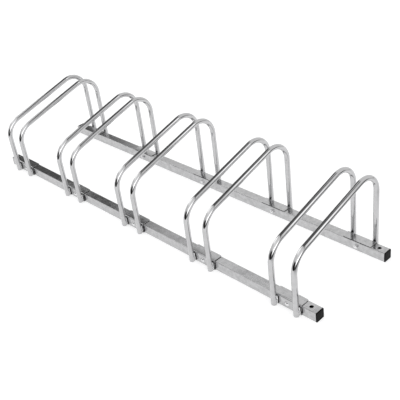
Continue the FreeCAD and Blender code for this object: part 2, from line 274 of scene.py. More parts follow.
def new_material(name):
    """A material with an empty tree but for its surface shader."""
    material = bpy.data.materials.new(name)
    material.use_nodes = True
    nodes = Nodes(material.node_tree)
    shader = nodes.add("ShaderNodeBsdfPrincipled")
    output = nodes.add("ShaderNodeOutputMaterial")
    nodes.put(output.inputs["Surface"], shader.outputs["BSDF"])
    return material, nodes, shader


def grey(value):
    """A neutral colour with a trace of blue."""
    return (value, value, value * 1.01, 1.0)


# Sizes of the finishes' textures: features per metre, and depths in metres.
CLOUDS, CLOUD_DEPTH = 85.0, 0.00009
CRYSTALS, CRYSTAL_DEPTH = 420.0, 0.000018
DRAWN_DEPTH = 0.000012
WELD_SCALE, WELD_SCALE_DEPTH = 700.0, 0.00006
MOULD_GRAIN, MOULD_GRAIN_DEPTH, DUST = 1600.0, 0.00004, 90.0


def zinc(name, tone, roughness, grain, spangle=1.0, mottle=0.05, along_uv=False):
    """Bright zinc plate: soft clouding, fine crystal bump and drawing lines along the metal."""
    material, nodes, shader = new_material(name)
    place = nodes.add("ShaderNodeTexCoord").outputs["Object"]
    lines_place = nodes.add("ShaderNodeUVMap", uv_map="length").outputs["UV"] if along_uv else place
    cloud = nodes.noise(place, CLOUDS, detail=4.0)
    crystal = nodes.noise(place, CRYSTALS, detail=2.0, roughness=0.6)
    lines = nodes.noise(nodes.stretched(lines_place, grain), 1.0, detail=2.0)

    shade = nodes.math("ADD", nodes.math("MULTIPLY", cloud, 0.7),
                       nodes.math("MULTIPLY", lines, 0.3))
    colour = nodes.mix_colour(nodes.remap(shade, 0.3, 0.7), grey(tone * (1 - mottle)),
                              grey(tone * (1 + mottle)))
    nodes.put(shader.inputs["Base Color"], colour)
    shader.inputs["Metallic"].default_value = 1.0
    patchy = nodes.math("ADD", nodes.math("MULTIPLY", cloud, 0.5),
                        nodes.math("MULTIPLY", lines, 0.5))
    nodes.put(shader.inputs["Roughness"],
              nodes.remap(patchy, 0.3, 0.7, roughness * 0.75, roughness * 1.3))
    drawn = nodes.bump(lines, DRAWN_DEPTH)
    cloudy = nodes.bump(cloud, CLOUD_DEPTH * spangle, normal=drawn)
    nodes.put(shader.inputs["Normal"],
              nodes.bump(crystal, CRYSTAL_DEPTH * spangle, normal=cloudy))
    return material


def weld_metal(name, tone, bead_side_shade_tone, roughness):
    """Plated weld bead: bright scaly crown and sides painted near black as shade where the bead
    meets tube and plate, told apart by the mesh.
    """
    material, nodes, shader = new_material(name)
    place = nodes.add("ShaderNodeTexCoord").outputs["Object"]
    scale = nodes.noise(place, WELD_SCALE, detail=4.0, roughness=0.65)
    crown = nodes.add("ShaderNodeAttribute", attribute_name="crown").outputs["Fac"]
    # Bright crown up the middle, sides down to near black: the dark sides are painted shade, broken
    # up by the scale noise.
    uneven = nodes.math("MULTIPLY_ADD", scale, 0.5, nodes.math("SUBTRACT", crown, 0.25))
    bright = nodes.mix_colour(nodes.remap(scale, 0.35, 0.6), grey(tone * 0.6), grey(tone * 1.1))
    nodes.put(shader.inputs["Base Color"],
              nodes.mix_colour(nodes.remap(uneven, 0.48, 0.72), grey(bead_side_shade_tone), bright))
    shader.inputs["Metallic"].default_value = 1.0
    nodes.put(shader.inputs["Roughness"], nodes.remap(scale, 0.3, 0.7, roughness, roughness * 1.7))
    nodes.put(shader.inputs["Normal"], nodes.bump(scale, WELD_SCALE_DEPTH))
    return material


def moulded_plastic(name, tone, roughness):
    """Black moulded plastic with a fine spark-eroded texture."""
    material, nodes, shader = new_material(name)
    place = nodes.add("ShaderNodeTexCoord").outputs["Object"]
    texture = nodes.noise(place, MOULD_GRAIN, detail=3.0)
    dust = nodes.noise(place, DUST, detail=3.0)
    nodes.put(shader.inputs["Base Color"],
              nodes.mix_colour(nodes.remap(dust, 0.4, 0.75), grey(tone), grey(tone * 1.8)))
    nodes.put(shader.inputs["Roughness"],
              nodes.remap(texture, 0.3, 0.7, roughness * 0.85, roughness * 1.2))
    shader.inputs["Specular IOR Level"].default_value = 0.08
    nodes.put(shader.inputs["Normal"], nodes.bump(texture, MOULD_GRAIN_DEPTH))
    return material


# ------------------------------------------------------------------ settings


class RackFinishSettings(bpy.types.PropertyGroup):
    """Colours and surface of the plated steel and the plastic."""

    tube_tone: bpy.props.FloatProperty(
        name="Tube tone", description="Reflectance of the plated tube", default=0.57, min=0, max=1)
    tube_roughness: bpy.props.FloatProperty(
        name="Tube roughness", description="Roughness of the plated tube", default=0.055,
        min=0, max=1)
    sheet_tone: bpy.props.FloatProperty(
        name="Sheet tone", description="Reflectance of the rails and brackets", default=0.55,
        min=0, max=1)
    sheet_roughness: bpy.props.FloatProperty(
        name="Sheet roughness", description="Roughness of the rails and brackets", default=0.17,
        min=0, max=1)
    # Near black: painted shade for the dark line along the brackets' cut edges against the rails.
    cut_edge_shade_tone: bpy.props.FloatProperty(
        name="Cut edge shade tone", description="Reflectance of the brackets' sheared edges, near black as painted shade",
        default=0.03, min=0, max=1)
    weld_tone: bpy.props.FloatProperty(
        name="Weld tone", description="Reflectance of the weld beads", default=0.85, min=0, max=1)
    # Near black: painted shade on the sides of the weld beads.
    bead_side_shade_tone: bpy.props.FloatProperty(
        name="Bead side shade tone", description="Reflectance of the beads' sides, darkened as painted shade",
        default=0.02, min=0, max=1)
    fastener_tone: bpy.props.FloatProperty(
        name="Fastener tone", description="Reflectance of the bolts and nuts", default=0.8,
        min=0, max=1)
    plastic_tone: bpy.props.FloatProperty(
        name="Plastic tone", description="Colour of the end caps", default=0.0025, min=0, max=1)


class RackHoopSettings(bpy.types.PropertyGroup):
    """The bent tube."""

    bend_radius: bpy.props.FloatProperty(
        name="Bend radius", description="Centreline radius of both bends", default=0.057,
        unit="LENGTH")
    slope: bpy.props.FloatProperty(
        name="Slope", description="Rise of the long run towards the rear",
        default=math.radians(15.5), subtype="ANGLE")
    wall: bpy.props.FloatProperty(
        name="Wall", description="Thickness of the tube's wall", default=0.001, unit="LENGTH")
    rim: bpy.props.FloatProperty(
        name="Rim", description="Rounding of the tube's cut ends", default=0.0003, unit="LENGTH")
    segments: bpy.props.IntProperty(
        name="Segments", description="Points round the tube", default=40, min=8)
    bend_step: bpy.props.FloatProperty(
        name="Bend step", description="Turn of the tube from one ring to the next",
        default=math.radians(4), subtype="ANGLE")


class RackSheetSettings(bpy.types.PropertyGroup):
    """The folded brackets."""

    thickness: bpy.props.FloatProperty(
        name="Thickness", description="Sheet of the brackets", default=0.002, unit="LENGTH")
    fold_radius: bpy.props.FloatProperty(
        name="Fold radius", description="Outside radius of the bracket's fold", default=0.004,
        unit="LENGTH")
    corner_radius: bpy.props.FloatProperty(
        name="Corner radius", description="Rounding of the two free corners of a bracket's top",
        default=0.004, unit="LENGTH")
    edge: bpy.props.FloatProperty(
        name="Edge", description="Worn edge of the sheet", default=0.00025, unit="LENGTH")


class RackWeldSettings(bpy.types.PropertyGroup):
    """The fillet welds beside the tubes."""

    reach: bpy.props.FloatProperty(
        name="Reach", description="From a tube's line of contact to the bead's middle",
        default=0.0059, unit="LENGTH")
    width: bpy.props.FloatProperty(
        name="Half width", description="Half the bead's width on the bracket", default=0.0031,
        unit="LENGTH")
    height: bpy.props.FloatProperty(
        name="Half height", description="Half the bead's height off the bracket", default=0.0034,
        unit="LENGTH")
    ripple: bpy.props.FloatProperty(
        name="Ripple", description="Length of one ripple along the bead", default=0.0052,
        unit="LENGTH")
    groove: bpy.props.FloatProperty(
        name="Groove", description="Depth of the grooves between ripples, of the bead's size",
        default=0.42, min=0, max=1)
    seed: bpy.props.IntProperty(
        name="Seed", description="Start of the beads' unevenness", default=7)


class RackFastenerSettings(bpy.types.PropertyGroup):
    """The domed bolts and hexagon nuts."""

    head_lip: bpy.props.FloatProperty(
        name="Head lip", description="Straight rim below the dome", default=0.0006, unit="LENGTH")
    thread_pitch: bpy.props.FloatProperty(
        name="Thread pitch", description="Pitch of the bolts' threads", default=0.001,
        unit="LENGTH")
    thread_depth: bpy.props.FloatProperty(
        name="Thread depth", description="Depth of the bolts' threads", default=0.0006,
        unit="LENGTH")
    shank: bpy.props.FloatProperty(
        name="Shank", description="Radius of the bolts' shanks", default=0.003, unit="LENGTH")
    nut_flats: bpy.props.FloatProperty(
        name="Nut flats", description="Width across the flats of the nuts", default=0.010,
        unit="LENGTH")
    nut_turn: bpy.props.FloatProperty(
        name="Nut turn", description="How much further each nut is turned than the one before",
        default=math.radians(23), subtype="ANGLE")


class RackCapSettings(bpy.types.PropertyGroup):
    """The moulded end caps."""

    corner: bpy.props.FloatProperty(
        name="Corner", description="Corner radius of the cap's face", default=0.002, unit="LENGTH")
    edge: bpy.props.FloatProperty(
        name="Edge", description="Rounded edge of the cap's face", default=0.0011, unit="LENGTH")
    border: bpy.props.FloatProperty(
        name="Border", description="Width of the raised border", default=0.0028, unit="LENGTH")
    inset: bpy.props.FloatProperty(
        name="Inset", description="Depth of the panel inside the border", default=0.0006,
        unit="LENGTH")
    dome: bpy.props.FloatProperty(
        name="Dome", description="Rise of the panel's middle", default=0.0005, unit="LENGTH")
    plug_wall: bpy.props.FloatProperty(
        name="Plug wall", description="Wall of the plug in the rail", default=0.0015,
        unit="LENGTH")
    rail_wall: bpy.props.FloatProperty(
        name="Rail wall", description="From the rail's outside to the plug's outside",
        default=0.0014, unit="LENGTH")


class RackStageSettings(bpy.types.PropertyGroup):
    """Camera, floor and studio light."""

    azimuth: bpy.props.FloatProperty(
        name="Azimuth", description="Camera's turn round the rack", default=math.radians(48.248),
        subtype="ANGLE")
    elevation: bpy.props.FloatProperty(
        name="Elevation", description="Camera's height above the horizon",
        default=math.radians(32.131), subtype="ANGLE")
    roll: bpy.props.FloatProperty(
        name="Roll", description="Turn of the camera about its own axis",
        default=math.radians(-7.275), subtype="ANGLE")
    distance: bpy.props.FloatProperty(
        name="Distance", description="From the camera to its target", default=1.886145,
        unit="LENGTH")
    target: bpy.props.FloatVectorProperty(
        name="Target", description="Point that the camera is turned to",
        default=(0.221236, -0.029918, 0.117142), subtype="XYZ", unit="LENGTH")
    lens: bpy.props.FloatProperty(
        name="Lens", description="Focal length in millimetres", default=63.480)
    shift: bpy.props.FloatVectorProperty(
        name="Shift", description="Camera shift that frames the photograph", size=2,
        default=(-0.037825, -0.005158))
    floor_low: bpy.props.FloatVectorProperty(
        name="Floor's near corner", description="Corner of the floor sheet towards -X and -Y",
        size=2, default=(-6.0, -0.9), unit="LENGTH")
    floor_high: bpy.props.FloatVectorProperty(
        name="Floor's far corner", description="Corner of the floor sheet towards +X and +Y",
        size=2, default=(1.05, 6.0), unit="LENGTH")
    floor_tone: bpy.props.FloatProperty(
        name="Floor tone", description="Reflectance of the floor", default=0.55, min=0, max=1)
    floor_lift: bpy.props.FloatProperty(
        name="Floor lift", description="Added to what the camera sees of the floor",
        default=0.64, min=0, max=1)
    floor_glow: bpy.props.FloatProperty(
        name="Floor glow", description="Added to what the metal shows of the floor",
        default=0.55, min=0, max=1)
    fade_start: bpy.props.FloatProperty(
        name="Fade start", description="Where the floor's glow starts to fade towards +X",
        default=0.68, unit="LENGTH")


SETTINGS = {
    "rack_finish": RackFinishSettings,
    "rack_hoop": RackHoopSettings,
    "rack_sheet": RackSheetSettings,
    "rack_weld": RackWeldSettings,
    "rack_fastener": RackFastenerSettings,
    "rack_cap": RackCapSettings,
    "rack_stage": RackStageSettings,
}


# ------------------------------------------------------------------ hoops


def hoop_stations(node, settings):
    """Centreline of a hoop as (y, z, turn, length so far), its feet at both ends."""
    low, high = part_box(node)
    radius, bend = tube_radius(), settings.bend_radius
    front, rear, foot = low.y + radius, high.y - radius, low.z
    slope = settings.slope
    crest = Vector((rear - bend, frame["record"]["size"]["bbox_m"][2] - radius - bend))
    reach = (crest.x - (front + bend)) / math.cos(slope)
    nose = crest - reach * Vector((math.cos(slope), math.sin(slope)))

    def bend_points(centre, start, end):
        count = max(2, round(abs(end - start) / settings.bend_step))
        turns = [start + (end - start) * i / count for i in range(count + 1)]
        return [(centre.x - bend * math.cos(turn), centre.y + bend * math.sin(turn),
                 math.pi / 2 - turn) for turn in turns]

    lean = math.pi / 2 - slope
    line = [(front, foot, math.pi / 2)]
    line += bend_points(nose, 0.0, lean)
    line += bend_points(crest, lean, math.pi)
    line.append((rear, foot, -math.pi / 2))
    stations, run, before = [], 0.0, None
    for y, z, heading in line:
        if before is not None:
            run += math.hypot(y - before[0], z - before[1])
        before = (y, z)
        stations.append((y, z, heading, run))
    return stations


def hoop_rings(x, stations, radius, segments, lift=0.0):
    """Rings of one wall of the tube, the end rings lifted off its cut ends."""
    rings = []
    for i, (y, z, heading, _) in enumerate(stations):
        forward = Vector((0, math.cos(heading), math.sin(heading)))
        centre = Vector((x, y, z))
        if i == 0:
            centre += forward * lift
        elif i == len(stations) - 1:
            centre -= forward * lift
        up = Vector((1, 0, 0)).cross(forward)
        rings.append(circle_points(centre, Vector((1, 0, 0)), up, radius, segments))
    return rings


def build_hoop(node, settings, material):
    """A hollow bent tube, open at both feet, with a map of its length for the drawing lines."""
    stations = hoop_stations(node, settings)
    x, outer = middle(node).x, tube_radius()
    inner, rim, segments = outer - settings.wall, settings.rim, settings.segments
    skin = hoop_rings(x, stations, outer, segments, rim)
    bore = hoop_rings(x, stations, inner, segments, rim)
    bevels = [hoop_rings(x, ends, radius, segments)[place]
              for ends, place in ((stations[:2], 0), (stations[-2:], 1))
              for radius in (outer - rim, inner + rim)]
    front_out, front_in, rear_out, rear_in = bevels
    sections = ([front_out] + skin + [rear_out, rear_in] + bore[::-1] + [front_in])
    model = RingMesh()
    model.loft(sections, closed=True)
    piece = model.piece(f"tube_{node[len('hoop_'):]}", [material], math.radians(60))

    runs = [run for _, _, _, run in stations]
    lengths = [runs[0]] + runs + [runs[-1]] * 2 + runs[::-1] + [runs[0]]
    layer = piece.data.uv_layers.new(name="length")
    for polygon in piece.data.polygons:
        columns = [index % segments for index in polygon.vertices]
        wraps = max(columns) - min(columns) > 1
        for loop, index, column in zip(polygon.loop_indices, polygon.vertices, columns):
            round_share = (column or segments if wraps else column) / segments
            layer.data[loop].uv = (round_share, lengths[index // segments])
    return finish_piece(piece, "hoop_zinc", node)


class RACK_OT_add_hoops(bpy.types.Operator):
    """Add the bent tube hoops, hollow to their open feet"""

    bl_idname = "rack.add_hoops"
    bl_label = "Hoops"

    def execute(self, context):
        scene = context.scene
        finish = scene.rack_finish
        material = zinc("zinc_tube", finish.tube_tone, finish.tube_roughness, (90.0, 4.0, 1.0),
                        spangle=0.35, along_uv=True)
        for node in hoop_names():
            build_hoop(node, scene.rack_hoop, material)
        return {"FINISHED"}


# ------------------------------------------------------------------ rails and brackets


def sheet_zinc(context):
    """The rails' and brackets' finish, made once."""
    finish = context.scene.rack_finish
    made = bpy.data.materials.get("zinc_sheet")
    return made or zinc("zinc_sheet", finish.sheet_tone, finish.sheet_roughness,
                        (6.0, 900.0, 900.0), spangle=0.55, mottle=0.12)


class RACK_OT_dress_rails(bpy.types.Operator):
    """Give the two rails their drawn and plated finish"""

    bl_idname = "rack.dress_rails"
    bl_label = "Rails"

    def execute(self, context):
        for side in SIDES:
            rail = frame["nodes"][f"{side}_rail"]
            rail.data.materials.clear()
            rail.data.materials.append(sheet_zinc(context))
        return {"FINISHED"}


ARC_STEPS = 6


def bracket_path(side, settings):
    """The folded sheet's outer skin from its lower edge to its free edge.

    Each station is (point, outward normal, distance to the free edge), X left at zero.
    """
    low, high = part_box(f"{side}_bracket_1")
    outward = OUTWARD[side]
    outer_y = plate_plane(side)
    free_y = high.y if side == "front" else low.y
    fold = settings.fold_radius
    pivot = Vector((0, outer_y - outward * fold, high.z - fold))
    out, up = Vector((0, outward, 0)), Vector((0, 0, 1))
    stations = [(Vector((0, outer_y, low.z)), out)]
    turns = [QUARTER_TURN * i / ARC_STEPS for i in range(ARC_STEPS + 1)]
    for turn in turns:
        normal = out * math.cos(turn) + up * math.sin(turn)
        stations.append((pivot + normal * fold, normal))
    for turn in turns:
        back = settings.corner_radius * (1 - math.sin(turn))
        stations.append((Vector((0, free_y + outward * back, high.z)), up))
    return [(point, normal, abs(point.y - free_y)) for point, normal in stations]


def sheet_section(x, half, point, normal, settings):
    """Cross-section of the sheet: its length along the rack by its thickness, edges worn."""
    edge, depth = settings.edge, settings.thickness
    outline = [(half - edge, 0), (-half + edge, 0), (-half, edge), (-half, depth - edge),
               (-half + edge, depth), (half - edge, depth), (half, depth - edge), (half, edge)]
    return [Vector((x + along, point.y, point.z)) - normal * down for along, down in outline]


def build_bracket(node, side, settings, materials):
    """One folded bracket, the two free corners of its top rounded."""
    low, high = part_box(node)
    x, half, corner = (low.x + high.x) / 2, (high.x - low.x) / 2, settings.corner_radius
    sections = []
    for point, normal, to_edge in bracket_path(side, settings):
        short = 0.0
        if to_edge < corner:
            short = corner - math.sqrt(corner ** 2 - (corner - to_edge) ** 2)
        sections.append(sheet_section(x, half - short, point, normal, settings))
    model = RingMesh()
    rings = model.loft(sections)
    count, bands = len(rings[0]), len(rings) - 1
    # The sheet's two ends and both lids take the near-black cut-edge finish, painted shade along
    # the bracket's edges.
    sheared_sides, both_lids = (2, 6), [1, 1]
    model.slots = [int(i % count in sheared_sides) for i in range(count * bands)] + both_lids
    name = f"angle_{node.replace('bracket_', '')}"
    return finish_piece(model.piece(name, materials, math.radians(30)), "bracket_zinc", node)


class RACK_OT_add_brackets(bpy.types.Operator):
    """Add the folded brackets with sheared edges"""

    bl_idname = "rack.add_brackets"
    bl_label = "Brackets"

    def execute(self, context):
        scene = context.scene
        # Near-black plate on the cut edges: painted shade along each bracket's edges.
        edge = zinc("zinc_cut_edge_shade", scene.rack_finish.cut_edge_shade_tone, 0.35, (900.0, 900.0, 60.0),
                    mottle=0.3)
        for side in SIDES:
            for number in wheel_places():
                build_bracket(f"{side}_bracket_{number}", side, scene.rack_sheet,
                              [sheet_zinc(context), edge])
        return {"FINISHED"}


# ------------------------------------------------------------------ welds


BEAD_POINTS = 16
RIPPLE_SECTIONS = 10
BLUNT_END = 0.15


def bead_sections(x, y, low, high, flank, outward, settings, chance):
    """Rippled sections of one bead that climbs beside a tube, between two heights.

    Each ripple has its own size, and the bead wanders a little on its way up.
    """
    count = round((high - low) / settings.ripple * RIPPLE_SECTIONS)
    drift, phase = chance.uniform(-0.06, 0.06), chance.uniform(0, 1)
    sizes = [chance.uniform(0.84, 1.08) for _ in range(count // RIPPLE_SECTIONS + 3)]
    turns = [FULL_TURN * j / BEAD_POINTS for j in range(BEAD_POINTS)]
    sections = []
    for i in range(count + 1):
        share, along = i / count, i / RIPPLE_SECTIONS + phase
        tapered = (1 - abs(2 * share - 1) ** 8) ** 0.5 * (1 - BLUNT_END) + BLUNT_END
        wave = abs(math.sin(math.pi * along))
        swell = 1 - settings.groove * (1 - wave) ** 1.6
        size = sizes[int(along)] * wave + (1 - wave)
        wander = settings.width * drift * math.sin(FULL_TURN * (share + phase))
        centre = Vector((x + flank * settings.reach + wander,
                         y + outward * settings.height * 0.25, low + (high - low) * share))
        wide = settings.width * tapered * swell * size
        tall = settings.height * tapered * swell * size
        sections.append([centre + Vector((wide * math.cos(turn), tall * math.sin(turn), 0))
                         for turn in turns])
    return sections


class RACK_OT_add_welds(bpy.types.Operator):
    """Add the rippled weld beads between the tubes and the brackets"""

    bl_idname = "rack.add_welds"
    bl_label = "Welds"

    def execute(self, context):
        scene = context.scene
        settings, finish = scene.rack_weld, scene.rack_finish
        material = weld_metal("weld_bead", finish.weld_tone, finish.bead_side_shade_tone, 0.12)
        chance = random.Random(settings.seed)
        for side in SIDES:
            low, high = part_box(f"{side}_welds")
            model = RingMesh()
            for node in hoop_names():
                for flank in (-1, 1):
                    model.loft(bead_sections(middle(node).x, plate_plane(side), low.z, high.z,
                                             flank, OUTWARD[side], settings, chance))
            piece = model.piece(f"beads_{side}", [material], math.radians(80))
            # crown: 1 up the middle of each bead, 0 at its sides, where the material paints shade.
            crown = piece.data.attributes.new("crown", "FLOAT", "POINT")
            crown.data.foreach_set("value", [abs(math.sin(FULL_TURN * i / BEAD_POINTS))
                                             for i in range(len(piece.data.vertices))])
            finish_piece(piece, "weld_metal", f"{side}_welds")
        return {"FINISHED"}


# ------------------------------------------------------------------ bolts and nuts


def bracket_centres(side):
    """Middle of each bolt on the bracket's outer face."""
    height = middle(f"{side}_rail").z
    return [Vector((middle(f"{side}_bracket_{n}").x, plate_plane(side), height))
            for n in wheel_places()]


BOLT_SEGMENTS = 48
DOME_STEPS = 9
THREAD_TURNS = 7
TURN_STEPS = 8
ALONG_RACK, UPWARD = Vector((1, 0, 0)), Vector((0, 0, 1))


def head_profile(settings, height, radius):
    """A domed head from its crown to its shank, as (height above the seat, radius)."""
    lip = settings.head_lip
    rise = height - lip
    dome = (radius ** 2 + rise ** 2) / (2 * rise)
    opening = math.asin(radius / dome)
    profile = [(height - 0.00001, 0.0002)]
    for i in range(1, DOME_STEPS + 1):
        turn = opening * i / DOME_STEPS
        profile.append((height - dome * (1 - math.cos(turn)), dome * math.sin(turn)))
    return profile + [(lip * 0.3, radius), (0.0, radius - lip * 0.4), (0.0, settings.shank)]


def thread_ring(centre, depth, tip, settings):
    """One ring of the thread's helix at a depth behind the head, bevelled at the tip."""
    points = []
    end_bevel = min(1.0, (tip - depth) / (settings.thread_pitch * 0.7))
    for j in range(BOLT_SEGMENTS):
        wave = (depth / settings.thread_pitch - j / BOLT_SEGMENTS) % 1.0
        cut = settings.thread_depth * (1 - abs(2 * wave - 1))
        radius = settings.shank - cut - (1 - end_bevel) * settings.thread_depth
        turn = FULL_TURN * j / BOLT_SEGMENTS
        points.append(centre
                      + (ALONG_RACK * math.cos(turn) + UPWARD * math.sin(turn)) * radius)
    return points


def add_bolt(model, seat, out, settings, head_height, head_radius, tip):
    """A domed head and a plain shank whose thread ends at the tip, behind the nut."""
    sections = [circle_points(seat + out * height, ALONG_RACK, UPWARD, radius, BOLT_SEGMENTS)
                for height, radius in head_profile(settings, head_height, head_radius)]
    thread = settings.thread_pitch * THREAD_TURNS
    rings = THREAD_TURNS * TURN_STEPS
    sections.append(circle_points(seat - out * (tip - thread), ALONG_RACK, UPWARD,
                                  settings.shank, BOLT_SEGMENTS))
    for i in range(1, rings + 1):
        depth = tip - thread + thread * i / rings
        sections.append(thread_ring(seat - out * depth, depth, tip, settings))
    model.loft(sections)


class RACK_OT_add_bolts(bpy.types.Operator):
    """Add the domed bolts that hold the brackets to the rails"""

    bl_idname = "rack.add_bolts"
    bl_label = "Bolts"

    def execute(self, context):
        scene = context.scene
        finish = scene.rack_finish
        material = zinc("zinc_fastener", finish.fastener_tone, 0.05, (500.0, 500.0, 500.0),
                        spangle=0.1)
        for side in SIDES:
            node = f"{side}_bolts"
            low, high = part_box(node)
            crown, tip_y = (low.y, high.y) if side == "front" else (high.y, low.y)
            head_height = abs(crown - plate_plane(side))
            tip = abs(plate_plane(side) - tip_y)
            model = RingMesh()
            for seat in bracket_centres(side):
                add_bolt(model, seat, Vector((0, OUTWARD[side], 0)), scene.rack_fastener,
                         head_height, (high.z - low.z) / 2, tip)
            finish_piece(model.piece(f"dome_bolts_{side}", [material], math.radians(50)),
                         "fastener_zinc", node)
        return {"FINISHED"}


NUT_SEGMENTS = 72
CORNER_STEPS = 5
FACE_SHARE = 0.97
FACET = math.pi / 3
CORNER_CONE = math.tan(math.radians(60))


def add_nut(model, seat, inward, settings, height, spin):
    """A hexagon nut with turned corners and a countersunk bore."""
    half = settings.nut_flats / 2
    face_radius, cone = half * FACE_SHARE, CORNER_CONE

    def outline(depth, limit):
        points = []
        for i in range(NUT_SEGMENTS):
            turn = FULL_TURN * i / NUT_SEGMENTS
            off_flat = (turn - spin) % FACET - FACET / 2
            radius = min(half / math.cos(off_flat), limit)
            points.append(seat + inward * depth
                          + (ALONG_RACK * math.cos(turn) + UPWARD * math.sin(turn)) * radius)
        return points

    corner_depth = (half / math.cos(FACET / 2) - face_radius) / cone
    depths = [corner_depth * i / CORNER_STEPS for i in range(CORNER_STEPS + 1)]
    lower = [outline(depth, face_radius + depth * cone) for depth in depths]
    upper = [outline(height - depth, face_radius + depth * cone) for depth in reversed(depths)]
    bore, sink = settings.shank, settings.thread_depth
    inside = [circle_points(seat + inward * depth, ALONG_RACK, UPWARD, radius, NUT_SEGMENTS)
              for depth, radius in ((height, bore + sink * 0.8), (height - sink, bore),
                                    (sink, bore), (0.0, bore + sink * 0.8))]
    model.loft(lower + upper + inside, closed=True)


class RACK_OT_add_nuts(bpy.types.Operator):
    """Add the hexagon nuts on the rails' inner faces"""

    bl_idname = "rack.add_nuts"
    bl_label = "Nuts"

    def execute(self, context):
        material = bpy.data.materials.get("zinc_fastener")
        if material is None:
            raise RuntimeError("add the bolts first: the nuts share their finish")
        settings = context.scene.rack_fastener
        for side in SIDES:
            node = f"{side}_nuts"
            height = extent(node).y
            model = RingMesh()
            for number, bolt in enumerate(bracket_centres(side), start=1):
                seat = Vector((bolt.x, rail_inner_plane(side), bolt.z))
                add_nut(model, seat, Vector((0, -OUTWARD[side], 0)), settings, height,
                        settings.nut_turn * number)
            finish_piece(model.piece(f"hex_nuts_{side}", [material], math.radians(25)),
                         "fastener_zinc", node)
        return {"FINISHED"}


# ------------------------------------------------------------------ end caps


# The cap's fine sizes: corners of the hollow and of the plug, the plug's lead-in, the seam at
# the rail's end and the slant of the border's inner side.
CORE_CORNER, PLUG_CORNER = 0.0005, 0.0008
LEAD_IN, LEAD_IN_RISE = 0.001, 0.0003
SEAM = 0.0002
BORDER_SLANT = 0.0004
CAP_STEPS = 5


def build_cap(node, settings, material):
    """A moulded cap: hollow plug, flange with a rounded edge, raised border and domed panel."""
    low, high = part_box(node)
    outward = 1.0 if middle(node).x > 0 else -1.0
    face_x, plug_x = (high.x, low.x) if outward > 0 else (low.x, high.x)
    rail_low, rail_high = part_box(f"{node.split('_')[0]}_rail")
    rail_end = rail_high.x if outward > 0 else rail_low.x
    centre_y, centre_z, half = middle(node).y, middle(node).z, (high.y - low.y) / 2
    across = Vector((0, outward, 0))

    def section(x, half_side, corner):
        return square_points(Vector((x, centre_y, centre_z)), across, UPWARD, half_side, corner)

    def at(depth):
        return face_x - outward * depth

    edge, corner = settings.edge, settings.corner
    plug = half - settings.rail_wall
    hollow = plug - settings.plug_wall
    sections = [section(rail_end, hollow, CORE_CORNER), section(plug_x, hollow, CORE_CORNER),
                section(plug_x, plug - LEAD_IN_RISE, CORE_CORNER),
                section(plug_x + outward * LEAD_IN, plug, PLUG_CORNER),
                section(rail_end, plug, PLUG_CORNER),
                section(rail_end, half - SEAM, corner),
                section(rail_end + outward * SEAM, half, corner)]
    for i in range(CAP_STEPS + 1):
        turn = QUARTER_TURN * i / CAP_STEPS
        sections.append(section(at(edge * (1 - math.sin(turn))),
                                half - edge * (1 - math.cos(turn)), corner))
    panel = half - settings.border
    sections += [section(at(0), panel + BORDER_SLANT, corner * 0.8),
                 section(at(settings.inset), panel, corner * 0.7)]
    for i in range(1, CAP_STEPS + 1):
        share = 1 - i / (CAP_STEPS + 0.3)
        rise = settings.dome * (1 - share ** 2)
        sections.append(section(at(settings.inset - rise), panel * share, corner * 0.7 * share))
    model = RingMesh()
    model.loft(sections)
    name = "plug_" + node.replace("_cap", "")
    return finish_piece(model.piece(name, [material], math.radians(35)), "cap_plastic", node)


class RACK_OT_add_caps(bpy.types.Operator):
    """Add the black plastic caps in the rails' ends"""

    bl_idname = "rack.add_caps"
    bl_label = "End caps"

    def execute(self, context):
        material = moulded_plastic("plastic_black", context.scene.rack_finish.plastic_tone, 0.42)
        for side in SIDES:
            for end in ENDS:
                build_cap(f"{side}_{end}_cap", context.scene.rack_cap, material)
        return {"FINISHED"}


# ------------------------------------------------------------------ stage


def set_camera(settings):
    """The photograph's view."""
    azimuth, elevation = settings.azimuth, settings.elevation
    back = Vector((math.sin(azimuth) * math.cos(elevation),
                   -math.cos(azimuth) * math.cos(elevation), math.sin(elevation)))
    level = (-back).cross(Vector((0, 0, 1))).normalized()
    upright = level.cross(-back)
    cosine, sine = math.cos(settings.roll), math.sin(settings.roll)
    right, up = level * cosine + upright * sine, upright * cosine - level * sine
    camera = bpy.data.objects.new("camera", bpy.data.cameras.new("camera"))
    bpy.context.scene.collection.objects.link(camera)
    turn = Matrix((right, up, back)).transposed().to_4x4()
    stand = Vector(settings.target) + back * settings.distance
    camera.matrix_world = Matrix.Translation(stand) @ turn
    camera.data.lens = settings.lens
    camera.data.shift_x, camera.data.shift_y = settings.shift
    camera.data.clip_start, camera.data.clip_end = 0.05, 60.0
    bpy.context.scene.camera = camera


